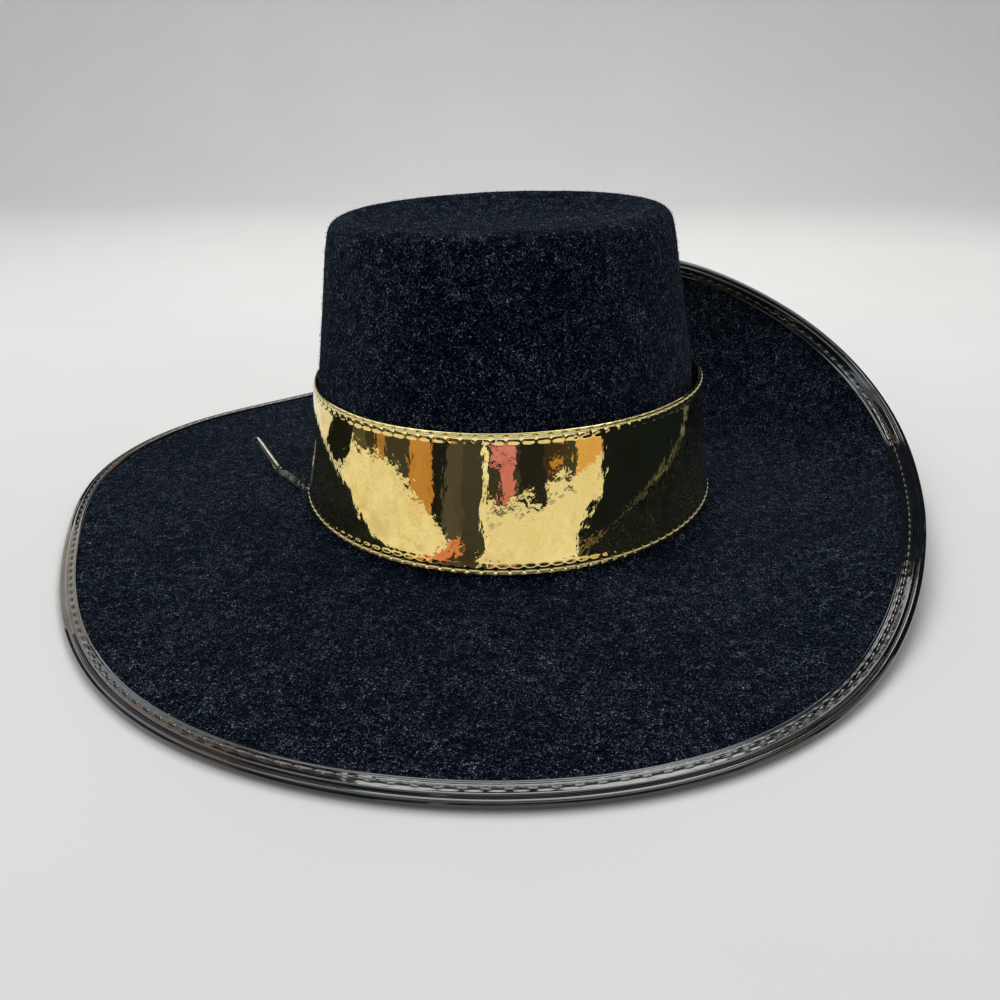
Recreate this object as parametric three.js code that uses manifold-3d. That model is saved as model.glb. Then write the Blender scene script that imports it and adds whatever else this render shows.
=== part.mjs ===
// Wide-brimmed felt hat with a dished flat crown, a mirror-gold band, a bound
// brim that rolls up at the back right, and a barbed chin cord.
// Millimetres, +Z up, front towards -Y, the hat standing on z = 0.
import * as THREE from 'three';
import Module from 'manifold-3d';

const wasm = await Module();
wasm.setup();

// ---------------------------------------------------------------- dimensions
const COLUMNS = 84;              // facets around every ring
const STAND = 9.0;               // height of the band's lower edge above the ground
const CENTRE_X = 6.816;          // moves the outline's middle onto the origin
const CENTRE_Y = 4.704;
const OVAL_TURN = -0.1105;       // turn of the head oval about +Z, radians

const FELT = 2.0;                // felt thickness
const GAP = 0.3;                 // gap that touching pieces keep

const HEAD_A = 84.5;             // crown foot, half width and half length
const HEAD_B = 101.5;
const FOOT_Z = -3.0;             // brim's upper face at the foot, below the band's edge
const WALL_A = 84.2;             // crown wall at the band's lower edge
const WALL_B = 102.6;
const TOP_A = 67.8;              // crown wall carried up to the rim plane
const TOP_B = 82.0;
const CROWN_H = 112.7;           // rim plane above the band's lower edge
const RIM_R = 7.7;               // rounding of the crown's rim
const LEAN_X = -4.21;            // the crown leans to the wearer's side
const LEAN_Y = 0.28;
const TILT_X = 0.035;            // and its rim plane rises towards +X
const TILT_Y = 0.004;
const OFFSET_X = 0.2;            // brim's head oval and crown's foot, off the middle
const CROWN_X = -0.6;

const BAND_H = 49.2;             // gold band
const BAND_T = 1.2;
const BAND_A = 85.75;
const BAND_B = 104.2;
const BAND_TOP_A = 78.85;
const BAND_TOP_B = 95.3;
const BAND_LIFT = 3.0;           // how far its upper edge stands off at the front right
const LIFT_AT = -0.44;           // where it does so most, radians from +X

const TAPE_T = 0.8;              // binding tape
const TAPE_GAP = 0.7;            // its free edges stand off the felt a little more
const BEAD_R = 1.35;             // round bead on the very edge
const BEAD_DROP = 1.0;           // its middle below the felt's upper face
const TAPE_UNDER = 5.0;          // width of the tape under the brim

const CORD_R = 1.5;
const HOLE_R = 2.6;

// wall heights, then the dish inside the rim: [inset from the rim's centre line, depth]
const WALL_ROWS = [103, 79, 53, 27, -0.3];
const RIM_ANGLES = [118, 90, 62, 35];
const DISH = [[44, 9.1], [30, 8.4], [18, 6.2], [10, 3.6]];
const DISH_DEPTH = 9.2;

// brim sections, a row every 22.5 degrees round the head oval from +X:
// felt length, tape width on top, slope at the foot, slope at the edge, sideways sweep
const BRIM = [
  { az: 0.0,   length: 86.1,  tape: 5.6, foot: -15.6, edge: 30.6,  sweep: -5.6 },
  { az: 22.5,  length: 99.4,  tape: 6.0, foot: -17.0, edge: 52.3,  sweep: -5.5 },
  { az: 45.0,  length: 109.8, tape: 5.6, foot: -14.5, edge: 92.8,  sweep: -6.3 },
  { az: 67.5,  length: 118.1, tape: 5.0, foot: -10.5, edge: 102.8, sweep: 3.0 },
  { az: 90.0,  length: 109.9, tape: 5.2, foot: -6.8,  edge: 52.4,  sweep: 4.4 },
  { az: 112.5, length: 101.8, tape: 5.0, foot: -4.4,  edge: 11.3,  sweep: 1.0 },
  { az: 135.0, length: 94.2,  tape: 4.4, foot: -3.2,  edge: -0.6,  sweep: 0.4 },
  { az: 157.5, length: 102.5, tape: 3.5, foot: -3.0,  edge: -0.3,  sweep: 0.3 },
  { az: 180.0, length: 103.6, tape: 3.0, foot: -3.0,  edge: -0.4,  sweep: -0.3 },
  { az: 202.5, length: 94.7,  tape: 2.8, foot: -3.0,  edge: -0.6,  sweep: -0.1 },
  { az: 225.0, length: 97.3,  tape: 3.0, foot: -3.0,  edge: -0.7,  sweep: 0.2 },
  { az: 247.5, length: 108.4, tape: 3.7, foot: -3.0,  edge: -0.3,  sweep: -0.7 },
  { az: 270.0, length: 112.2, tape: 4.7, foot: -3.0,  edge: -0.2,  sweep: -0.9 },
  { az: 292.5, length: 108.4, tape: 4.8, foot: -3.6,  edge: 0.4,   sweep: -2.8 },
  { az: 315.0, length: 94.0,  tape: 5.2, foot: -7.3,  edge: 6.3,   sweep: -4.7 },
  { az: 337.5, length: 83.5,  tape: 5.0, foot: -11.4, edge: 22.3,  sweep: -6.4 },
];
// brim rows as fractions of the felt length
const BRIM_ROWS = [0.11, 0.21, 0.32, 0.43, 0.54, 0.65, 0.76, 0.87, 0.95, 1.0];
// roll from the wall into the brim: [distance along the brim, lift off it]
const FOOT_ROLL = [[0.9, 1.65], [2.2, 0.75], [4.6, 0.12]];

// ------------------------------------------------------------------- helpers
const rad = (d) => (d * Math.PI) / 180;

// closed cubic spline through values spaced evenly round a full turn
function periodic(values) {
  const n = values.length;
  const m = new Array(n).fill(0);
  for (let pass = 0; pass < 60; pass++) {
    for (let i = 0; i < n; i++) {
      const a = values[(i + n - 1) % n], b = values[i], c = values[(i + 1) % n];
      m[i] = (6 * (a - 2 * b + c) - m[(i + n - 1) % n] - m[(i + 1) % n]) / 4;
    }
  }
  return (t) => {
    const u = (((t / (2 * Math.PI)) % 1) + 1) % 1 * n;
    const i = Math.floor(u) % n, j = (i + 1) % n, f = u - Math.floor(u), g = 1 - f;
    return values[i] * g + values[j] * f + ((g ** 3 - g) * m[i] + (f ** 3 - f) * m[j]) / 6;
  };
}

const column = (name, scale = 1) => periodic(BRIM.map((row) => row[name] * scale));
const brimLength = column('length');
const tapeWidth = column('tape');
const footSlope = column('foot', Math.PI / 180);
const edgeSlope = column('edge', Math.PI / 180);
const sweep = column('sweep', Math.PI / 180);

function turned(x, y) {
  const c = Math.cos(OVAL_TURN), s = Math.sin(OVAL_TURN);
  return [x * c - y * s, x * s + y * c];
}

const placed = (x, y, z) => new THREE.Vector3(x + CENTRE_X, y + CENTRE_Y, z + STAND);

// a point on a crown ring: half axes a, b at height z over the band's lower edge
function crownPoint(t, a, b, z) {
  const k = z / CROWN_H;
  const [x, y] = turned(a * Math.cos(t), b * Math.sin(t));
  return placed(CROWN_X + LEAN_X * k + x, LEAN_Y * k + y, z + k * (TILT_X * x + TILT_Y * y));
}

const wallA = (z) => WALL_A + ((TOP_A - WALL_A) * z) / CROWN_H;
const wallB = (z) => WALL_B + ((TOP_B - WALL_B) * z) / CROWN_H;

// a point on the brim's upper face, a distance s along its section
function brimPoint(t, s) {
  const [px, py] = turned(HEAD_A * Math.cos(t), HEAD_B * Math.sin(t));
  let [nx, ny] = turned(Math.cos(t) / HEAD_A, Math.sin(t) / HEAD_B);
  const l = Math.hypot(nx, ny);
  nx /= l; ny /= l;
  const length = brimLength(t), a0 = footSlope(t), a1 = edgeSlope(t), w = sweep(t);
  const steps = 24, ds = s / steps;
  let out = 0, side = 0, up = 0;
  for (let i = 0; i < steps; i++) {
    const f = Math.min(((i + 0.5) * ds) / length, 1);
    const a = a0 + (a1 - a0) * f, v = w * f;
    out += Math.cos(a) * Math.cos(v) * ds;
    side += Math.cos(a) * Math.sin(v) * ds;
    up += Math.sin(a) * ds;
  }
  return placed(OFFSET_X + px + nx * out - ny * side, py + ny * out + nx * side, FOOT_Z + up);
}

function brimNormal(t, s) {
  const dt = brimPoint(t + 0.01, s).sub(brimPoint(t - 0.01, s));
  const ds = brimPoint(t, s + 0.5).sub(brimPoint(t, s - 0.5));
  return ds.cross(dt).normalize();
}

// rows of points round the hat joined into one closed skin; the first and last
// rows are joined too when the skin is a ring, or end on single points otherwise
function skin(rows, { ring = false, start = null, end = null } = {}) {
  const points = rows.flat();
  const faces = [];
  const n = COLUMNS;
  const count = ring ? rows.length : rows.length - 1;
  for (let r = 0; r < count; r++) {
    const r2 = (r + 1) % rows.length;
    for (let c = 0; c < n; c++) {
      const c2 = (c + 1) % n;
      const a = r * n + c, b = r * n + c2, d = r2 * n + c, e = r2 * n + c2;
      faces.push([a, d, b], [b, d, e]);
    }
  }
  if (start) {
    const k = points.length;
    points.push(start);
    for (let c = 0; c < n; c++) faces.push([k, c, (c + 1) % n]);
  }
  if (end) {
    const k = points.length, base = (rows.length - 1) * n;
    points.push(end);
    for (let c = 0; c < n; c++) faces.push([k, base + ((c + 1) % n), base + c]);
  }
  return { points, faces };
}

function solid({ points, faces }) {
  const vertProperties = new Float32Array(points.flatMap((p) => [p.x, p.y, p.z]));
  const triVerts = new Uint32Array(faces.flat());
  return new wasm.Manifold(new wasm.Mesh({ numProp: 3, vertProperties, triVerts }));
}

function geometry(body) {
  const m = body.getMesh();
  const g = new THREE.BufferGeometry();
  const at = new Float32Array((m.vertProperties.length / m.numProp) * 3);
  for (let i = 0; i < at.length / 3; i++)
    for (let k = 0; k < 3; k++) at[3 * i + k] = m.vertProperties[m.numProp * i + k];
  g.setAttribute('position', new THREE.BufferAttribute(at, 3));
  g.setIndex(new THREE.BufferAttribute(new Uint32Array(m.triVerts), 1));
  g.computeVertexNormals();
  return g;
}

const turns = Array.from({ length: COLUMNS }, (_, i) => (i * 2 * Math.PI) / COLUMNS);
const grounded = (p) => { p.z = Math.max(p.z, 0); return p; };

function mesh(name, geom, colour, roughness, metalness) {
  const m = new THREE.Mesh(geom, new THREE.MeshStandardMaterial({ color: colour, roughness, metalness }));
  m.name = name;
  return m;
}

// ----------------------------------------------------------------- felt body
const wallTilt = rad(8.5);
const rimZ = CROWN_H - RIM_R;
const tangentZ = rimZ + RIM_R * Math.sin(wallTilt);
const rimA = wallA(tangentZ) - RIM_R * Math.cos(wallTilt);
const rimB = wallB(tangentZ) - RIM_R * Math.cos(wallTilt);

// outer face, from the middle of the dish out over the rim and down to the brim's edge
const outer = [];
for (const [inset, depth] of DISH)
  outer.push(turns.map((t) => crownPoint(t, rimA - inset, rimB - inset, CROWN_H - depth)));
for (const angle of RIM_ANGLES) {
  const c = RIM_R * Math.cos(rad(angle)), s = RIM_R * Math.sin(rad(angle));
  outer.push(turns.map((t) => crownPoint(t, rimA + c, rimB + c, rimZ + s)));
}
for (const z of WALL_ROWS) outer.push(turns.map((t) => crownPoint(t, wallA(z), wallB(z), z)));
for (const [s, lift] of FOOT_ROLL)
  outer.push(turns.map((t) => brimPoint(t, s).add(new THREE.Vector3(0, 0, lift))));
const firstBrimRow = outer.length;
for (const f of BRIM_ROWS) outer.push(turns.map((t) => brimPoint(t, f * brimLength(t))));

const poleTop = crownPoint(0, 0, 0, CROWN_H - DISH_DEPTH);
const poleUnder = poleTop.clone().add(new THREE.Vector3(0, 0, -FELT));

// inner face, one felt thickness in from the outer one
const inner = outer.map((row, r) => row.map((p, c) => {
  let n;
  if (r >= firstBrimRow) {
    n = brimNormal(turns[c], BRIM_ROWS[r - firstBrimRow] * brimLength(turns[c]));
  } else {
    const before = r === 0 ? poleTop : outer[r - 1][c];
    const after = outer[r + 1][c];
    const around = outer[r][(c + 1) % COLUMNS].clone().sub(outer[r][(c + COLUMNS - 1) % COLUMNS]);
    n = after.clone().sub(before).cross(around).normalize();
  }
  return grounded(p.clone().addScaledVector(n, -FELT));
}));

const feltSkin = skin([...outer, ...inner.reverse()], { start: poleTop, end: poleUnder });
let felt = solid(feltSkin);

// the cord's two slanting holes through the brim at the crown's foot
const HOLE_LEFT = [new THREE.Vector3(-92.2, -13.5, -0.8), new THREE.Vector3(-84.2, -13.3, -7.5)];
const HOLE_RIGHT = [new THREE.Vector3(89.6, 31.0, -1.2), new THREE.Vector3(81.9, 29.1, -7.6)];
for (const [a, b] of [HOLE_LEFT, HOLE_RIGHT]) {
  const p = placed(a.x, a.y, a.z), q = placed(b.x, b.y, b.z);
  const drill = new THREE.CylinderGeometry(HOLE_R, HOLE_R, p.distanceTo(q) + 3, 16);
  const m = new THREE.Matrix4().compose(
    p.clone().add(q).multiplyScalar(0.5),
    new THREE.Quaternion().setFromUnitVectors(new THREE.Vector3(0, 1, 0), q.clone().sub(p).normalize()),
    new THREE.Vector3(1, 1, 1));
  drill.applyMatrix4(m);
  felt = felt.subtract(fromGeometry(drill));
}

// ------------------------------------------------------------------ gold band
function bandRing(z, inset) {
  const f = z / BAND_H;
  return turns.map((t) => {
    const lift = BAND_LIFT * f * Math.max(0, Math.cos(t - LIFT_AT)) ** 3;
    return crownPoint(t, BAND_A + (BAND_TOP_A - BAND_A) * f + lift - inset,
      BAND_B + (BAND_TOP_B - BAND_B) * f + lift * 0.4 - inset, z);
  });
}
const band = solid(skin([
  bandRing(BAND_H, 0), bandRing(BAND_H / 2, 0), bandRing(0, 0),
  bandRing(0, BAND_T), bandRing(BAND_H / 2, BAND_T), bandRing(BAND_H, BAND_T),
], { ring: true }));

// -------------------------------------------------------------- brim binding
// section points: [distance past the felt's edge, height over its upper face]
function bindingSection(t) {
  const w = tapeWidth(t), top = TAPE_GAP + TAPE_T, under = -FELT - TAPE_GAP;
  const cx = 0.4 + BEAD_R, cy = -BEAD_DROP;
  const bead = [118, 88, 58, 28, -2, -32, -62, -92, -120].map((a) =>
    [cx + BEAD_R * Math.cos(rad(a)), cy + BEAD_R * Math.sin(rad(a))]);
  return [
    [-w, TAPE_GAP], [-w, top], [-w / 2, top], [0.2, top - 0.15], [1.05, 0.6],
    ...bead,
    [0.2, under - 0.55], [-TAPE_UNDER, under - 0.55], [-TAPE_UNDER, under], [0.4, under], [0.4, TAPE_GAP],
  ];
}
const sections = turns.map((t) => {
  const length = brimLength(t);
  return bindingSection(t).map(([along, up]) => {
    const s = length + along;
    return grounded(brimPoint(t, s).addScaledVector(brimNormal(t, Math.min(s, length)), up));
  });
});
const bindingRows = sections[0].map((_, k) => sections.map((section) => section[k]));
const binding = solid(skin(bindingRows, { ring: true }));

// ------------------------------------------------------------ cord and barbs
// barb: a U channel with a small bent tongue at its tip, mouth at the origin,
// running along +Y, open towards +Z
const BARB_LENGTH = 18.4;
const BARB_W = 2.2;
const BARB_H = 1.8;
const BARB_T = 0.5;
function barb() {
  const part = (w, l, h, x, y, z, turnZ = 0) => {
    const g = new THREE.BoxGeometry(w, l, h);
    g.rotateZ(turnZ);
    g.translate(x, y, z);
    return fromGeometry(g);
  };
  const web = part(BARB_W, BARB_LENGTH, BARB_T, 0, BARB_LENGTH / 2, BARB_T / 2 - BARB_H / 2);
  const side = (BARB_W - BARB_T) / 2;
  const right = part(BARB_T, BARB_LENGTH, BARB_H, side, BARB_LENGTH / 2, 0);
  const left = part(BARB_T, BARB_LENGTH - 4, BARB_H, -side, (BARB_LENGTH - 4) / 2, 0);
  const tongue = part(BARB_T, 2.8, 1.2, 0.0, BARB_LENGTH + 0.2, 0.0, rad(68));
  return web.add(right).add(left).add(tongue);
}

// mouth position, direction of the barb and direction its channel opens to
const TIP_LEFT = { at: [-105.2, 7.6, -1.2], along: [-0.601, 0.564, 0.569], open: [-0.5, -0.85, 0.1] };
const TIP_RIGHT = { at: [87.6, 47.0, -2.4], along: [-0.30, 0.86, 0.41], open: [-0.2, -0.4, 0.9] };

function barbAt({ at, along, open }) {
  const y = new THREE.Vector3(...along).normalize();
  const z = new THREE.Vector3(...open);
  z.addScaledVector(y, -z.dot(y)).normalize();
  const x = y.clone().cross(z);
  const g = geometry(barb());
  g.applyMatrix4(new THREE.Matrix4().makeBasis(x, y, z).setPosition(placed(...at)));
  return g.toNonIndexed();
}

// route of the cord's centre line, from one barb's mouth to the other's:
// down a hole, loosely across the ground inside the head opening, up the other hole
const LIE = -STAND + CORD_R + 0.05;
const inFront = ({ at, along }, gap) => {
  const y = new THREE.Vector3(...along).normalize();
  return [at[0] - y.x * gap, at[1] - y.y * gap, at[2] - y.z * gap];
};
const CORD = [
  inFront(TIP_LEFT, 0.35),
  inFront(TIP_LEFT, 3.0),
  [-99.6, -1.2, -1.05], [-95.9, -7.0, -0.95], [-92.3, -12.0, -1.15],
  [-88.3, -13.5, -4.0], [-84.4, -13.3, -7.05], [-79.5, -13.2, LIE],
  [-67, -16, LIE], [-50, -34, LIE], [-22, -56, LIE], [14, -63, LIE], [42, -47, LIE],
  [46, -20, LIE], [22, -4, LIE], [-14, 2, LIE], [-42, 18, LIE], [-50, 44, LIE],
  [-28, 64, LIE], [6, 66, LIE], [36, 52, LIE], [58, 36, LIE], [70, 29.5, LIE],
  [77.6, 28.6, LIE], [82.0, 29.1, -7.1], [85.7, 30.0, -4.4], [88.7, 31.5, -2.0],
  [90.0, 35.2, -2.0], [89.4, 40.2, -2.4],
  inFront(TIP_RIGHT, 3.2),
  inFront(TIP_RIGHT, 0.35),
];
const cordPath = new THREE.CatmullRomCurve3(CORD.map((p) => placed(...p)), false, 'centripetal');
cordPath.arcLengthDivisions = 800;
const round = new THREE.Shape();
for (let i = 0; i < 8; i++) {
  const a = (i * Math.PI) / 4;
  if (i === 0) round.moveTo(CORD_R, 0);
  else round.lineTo(CORD_R * Math.cos(a), CORD_R * Math.sin(a));
}
round.closePath();
const cord = new THREE.ExtrudeGeometry(round, { steps: 80, extrudePath: cordPath, bevelEnabled: false });

// --------------------------------------------------------------------- group
function fromGeometry(g) {
  const flat = g.index ? g.toNonIndexed() : g;
  const p = flat.getAttribute('position');
  const keys = new Map(), points = [], faces = [];
  for (let i = 0; i < p.count; i += 3) {
    const face = [];
    for (let k = 0; k < 3; k++) {
      const v = new THREE.Vector3().fromBufferAttribute(p, i + k);
      const key = [v.x, v.y, v.z].map((c) => Math.round(c * 1e4)).join();
      if (!keys.has(key)) { keys.set(key, points.length); points.push(v); }
      face.push(keys.get(key));
    }
    if (new Set(face).size === 3) faces.push(face);
  }
  return solid({ points, faces });
}

const hat = new THREE.Group();
hat.add(mesh('felt_body', geometry(felt), 0x14151a, 0.95, 0.0));
hat.add(mesh('hat_band', geometry(band), 0xcdb163, 0.18, 0.85));
hat.add(mesh('brim_binding', geometry(binding), 0x111216, 0.3, 0.0));
hat.add(mesh('chin_cord', cord, 0x101114, 0.8, 0.0));
hat.add(mesh('cord_tip_left', barbAt(TIP_LEFT), 0xb9ae96, 0.4, 0.8));
hat.add(mesh('cord_tip_right', barbAt(TIP_RIGHT), 0xb9ae96, 0.4, 0.8));

export default hat;
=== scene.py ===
"""Studio scene of a wide-brimmed felt hat: dished crown, mirror-gold band, bound brim
that rolls up at the back right, and a barbed chin cord."""

import math

import bpy
import numpy as np
from mathutils import Matrix, Vector, noise


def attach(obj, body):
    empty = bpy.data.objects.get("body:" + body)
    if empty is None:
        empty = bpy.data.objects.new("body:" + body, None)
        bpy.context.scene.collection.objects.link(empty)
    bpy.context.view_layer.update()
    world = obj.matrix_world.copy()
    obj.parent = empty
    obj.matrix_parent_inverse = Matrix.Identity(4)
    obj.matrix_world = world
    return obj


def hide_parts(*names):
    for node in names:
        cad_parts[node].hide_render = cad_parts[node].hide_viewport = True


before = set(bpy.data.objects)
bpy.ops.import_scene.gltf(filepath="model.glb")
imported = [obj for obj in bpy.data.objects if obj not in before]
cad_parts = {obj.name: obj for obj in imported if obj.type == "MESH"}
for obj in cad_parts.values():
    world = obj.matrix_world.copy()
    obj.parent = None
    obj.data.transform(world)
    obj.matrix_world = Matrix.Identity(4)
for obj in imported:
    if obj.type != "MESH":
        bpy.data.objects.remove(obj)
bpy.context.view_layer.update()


MM = 0.001
rng = np.random.default_rng(41)

# ------------------------------------------------------------------ dimensions (mm)
STAND = 9.0
CENTRE_X = 6.816
CENTRE_Y = 4.704
OVAL_TURN = -0.1105

FELT = 2.0
HEAD_A, HEAD_B, FOOT_Z = 84.5, 101.5, -3.0
WALL_A, WALL_B = 84.2, 102.6
TOP_A, TOP_B, CROWN_H = 67.8, 82.0, 112.7
RIM_R = 7.7
LEAN_X, LEAN_Y = -4.21, 0.28
TILT_X, TILT_Y = 0.035, 0.004
OFFSET_X = 0.2
CROWN_X = -0.6

BAND_H, BAND_T = 49.2, 1.2
BAND_A, BAND_B = 85.75, 104.2
BAND_TOP_A, BAND_TOP_B = 78.85, 95.3
BAND_LIFT, LIFT_AT = 3.0, -0.44

BEAD_R, BEAD_DROP = 1.35, 1.0
TAPE_UNDER = 5.0

CORD_R = 1.5
HOLE_R = 2.6

WALL_ROWS = [103, 79, 53, 27, -0.3]
RIM_ANGLES = [118, 90, 62, 35]
DISH = [(44, 9.1), (30, 8.4), (18, 6.2), (10, 3.6)]
DISH_DEPTH = 9.2
FOOT_ROLL = [(0.9, 1.65), (2.2, 0.75), (4.6, 0.12)]
BRIM_ROWS = [0.11, 0.21, 0.32, 0.43, 0.54, 0.65, 0.76, 0.87, 0.95, 1.0]

# brim sections every 22.5 degrees from +X: length, tape, foot slope, edge slope, sweep
BRIM = [
    (86.1, 5.6, -15.6, 30.6, -5.6),
    (99.4, 6.0, -17.0, 52.3, -5.5),
    (109.8, 5.6, -14.5, 92.8, -6.3),
    (118.1, 5.0, -10.5, 102.8, 3.0),
    (109.9, 5.2, -6.8, 52.4, 4.4),
    (101.8, 5.0, -4.4, 11.3, 1.0),
    (94.2, 4.4, -3.2, -0.6, 0.4),
    (102.5, 3.5, -3.0, -0.3, 0.3),
    (103.6, 3.0, -3.0, -0.4, -0.3),
    (94.7, 2.8, -3.0, -0.6, -0.1),
    (97.3, 3.0, -3.0, -0.7, 0.2),
    (108.4, 3.7, -3.0, -0.3, -0.7),
    (112.2, 4.7, -3.0, -0.2, -0.9),
    (108.4, 4.8, -3.6, 0.4, -2.8),
    (94.0, 5.2, -7.3, 6.3, -4.7),
    (83.5, 5.0, -11.4, 22.3, -6.4),
]


# ------------------------------------------------------------------ shape functions
def periodic(values):
    v = [float(x) for x in values]
    n = len(v)
    m = [0.0] * n
    for _ in range(60):
        for i in range(n):
            m[i] = (6 * (v[i - 1] - 2 * v[i] + v[(i + 1) % n]) - m[i - 1] - m[(i + 1) % n]) / 4
    v, m = np.array(v), np.array(m)

    def at(t):
        u = (np.asarray(t, float) / (2 * np.pi)) % 1.0 * n
        i = np.floor(u).astype(int) % n
        j = (i + 1) % n
        f = u - np.floor(u)
        g = 1 - f
        return v[i] * g + v[j] * f + ((g**3 - g) * m[i] + (f**3 - f) * m[j]) / 6

    return at


brim_length = periodic([r[0] for r in BRIM])
tape_width = periodic([r[1] for r in BRIM])
foot_slope = periodic([math.radians(r[2]) for r in BRIM])
edge_slope = periodic([math.radians(r[3]) for r in BRIM])
brim_sweep = periodic([math.radians(r[4]) for r in BRIM])


def turned(x, y):
    c, s = math.cos(OVAL_TURN), math.sin(OVAL_TURN)
    return x * c - y * s, x * s + y * c


def placed(x, y, z):
    return np.stack(np.broadcast_arrays(x + CENTRE_X, y + CENTRE_Y, z + STAND), axis=-1)


def crown_point(t, a, b, z):
    k = z / CROWN_H
    x, y = turned(a * np.cos(t), b * np.sin(t))
    return placed(CROWN_X + LEAN_X * k + x, LEAN_Y * k + y, z + k * (TILT_X * x + TILT_Y * y))


def wall_a(z):
    return WALL_A + (TOP_A - WALL_A) * z / CROWN_H


def wall_b(z):
    return WALL_B + (TOP_B - WALL_B) * z / CROWN_H


def brim_point(t, s):
    t, s = np.broadcast_arrays(np.asarray(t, float), np.asarray(s, float))
    px, py = turned(HEAD_A * np.cos(t), HEAD_B * np.sin(t))
    nx, ny = turned(np.cos(t) / HEAD_A, np.sin(t) / HEAD_B)
    l = np.hypot(nx, ny)
    nx, ny = nx / l, ny / l
    length, a0, a1, w = brim_length(t), foot_slope(t), edge_slope(t), brim_sweep(t)
    ds = s / 24
    out = np.zeros(t.shape)
    side = np.zeros(t.shape)
    up = np.zeros(t.shape)
    for i in range(24):
        f = np.minimum((i + 0.5) * ds / length, 1)
        a, v = a0 + (a1 - a0) * f, w * f
        out = out + np.cos(a) * np.cos(v) * ds
        side = side + np.cos(a) * np.sin(v) * ds
        up = up + np.sin(a) * ds
    return placed(OFFSET_X + px + nx * out - ny * side, py + ny * out + nx * side, FOOT_Z + up)


def unit(v):
    return v / np.maximum(np.linalg.norm(v, axis=-1, keepdims=True), 1e-12)


def brim_normal(t, s):
    dt = brim_point(t + 0.01, s) - brim_point(t - 0.01, s)
    ds = brim_point(t, s + 0.5) - brim_point(t, s - 0.5)
    return unit(np.cross(ds, dt))


def grounded(p):
    p = np.array(p)
    p[..., 2] = np.maximum(p[..., 2], 0.0)
    return p


def even_turns(ring, n):
    """n parameters spaced evenly along the closed line ring(t)."""
    t = np.linspace(0, 2 * np.pi, 4001)
    p = ring(t)
    along = np.concatenate([[0], np.cumsum(np.linalg.norm(np.diff(p, axis=0), axis=1))])
    return np.interp(np.arange(n) / n * along[-1], along, t), along[-1]


def refine(rows, parts):
    """Rows of points joined by a smooth line through each column; parts[i] steps from row i to i + 1."""
    rows = np.asarray(rows, float)
    out = []
    for i in range(len(rows) - 1):
        p1, p2 = rows[i], rows[i + 1]
        p0 = rows[i - 1] if i > 0 else 2 * p1 - p2
        p3 = rows[i + 2] if i + 2 < len(rows) else 2 * p2 - p1
        d0 = np.maximum(np.linalg.norm(p1 - p0, axis=-1, keepdims=True), 1e-6) ** 0.5
        d1 = np.maximum(np.linalg.norm(p2 - p1, axis=-1, keepdims=True), 1e-6) ** 0.5
        d2 = np.maximum(np.linalg.norm(p3 - p2, axis=-1, keepdims=True), 1e-6) ** 0.5
        t1 = ((p1 - p0) / d0 - (p2 - p0) / (d0 + d1) + (p2 - p1) / d1) * d1
        t2 = ((p2 - p1) / d1 - (p3 - p1) / (d1 + d2) + (p3 - p2) / d2) * d1
        for k in range(parts[i]):
            u = k / parts[i]
            out.append(p1 + t1 * u + (-3 * p1 + 3 * p2 - 2 * t1 - t2) * u**2 + (2 * p1 - 2 * p2 + t1 + t2) * u**3)
    out.append(rows[-1])
    return np.array(out)


def field(points, scale, seed):
    """Smooth noise from -1 to 1 at every point; scale is its wavelength in mm."""
    flat = points.reshape(-1, 3) / scale + np.array([seed * 17.3, seed * 5.1, -seed * 9.7])
    return np.array([noise.noise(Vector(p)) for p in flat]).reshape(points.shape[:-1])


# ------------------------------------------------------------------ mesh helpers
def add_object(name, points, faces, material=None, smooth=True):
    me = bpy.data.meshes.new(name)
    me.from_pydata((np.asarray(points, float) * MM).tolist(), [], faces)
    me.validate()
    if smooth:
        me.polygons.foreach_set("use_smooth", np.ones(len(me.polygons), bool))
    me.update()
    ob = bpy.data.objects.new(name, me)
    bpy.context.scene.collection.objects.link(ob)
    if material:
        me.materials.append(material)
    return ob


def grid_faces(rows, columns, ring=False, offset=0, wrap=True):
    """Quads over rows x columns points; columns close on themselves when wrap is set, rows when ring is."""
    r = np.arange(rows if ring else rows - 1)
    c = np.arange(columns if wrap else columns - 1)
    R, C = np.meshgrid(r, c, indexing="ij")
    R2, C2 = (R + 1) % rows, (C + 1) % columns
    quads = np.stack([R * columns + C, R2 * columns + C, R2 * columns + C2, R * columns + C2], axis=-1) + offset
    return quads.reshape(-1, 4).tolist()


def skin(name, rows, material, ring=False, start=None, end=None):
    rows = np.asarray(rows)
    n = rows.shape[1]
    points = rows.reshape(-1, 3)
    faces = grid_faces(len(rows), n, ring)
    if start is not None:
        k = len(points)
        points = np.vstack([points, start])
        faces += [[k, c, (c + 1) % n] for c in range(n)]
    if end is not None:
        k, base = len(points), (len(rows) - 1) * n
        points = np.vstack([points, end])
        faces += [[k, base + (c + 1) % n, base + c] for c in range(n)]
    return add_object(name, points, faces, material)


def join(parts):
    """Several (points, faces) pairs as one."""
    points, faces, k = [], [], 0
    for p, f in parts:
        points.append(np.asarray(p, float))
        faces += [[i + k for i in face] for face in f]
        k += len(p)
    return np.vstack(points), faces


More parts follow.
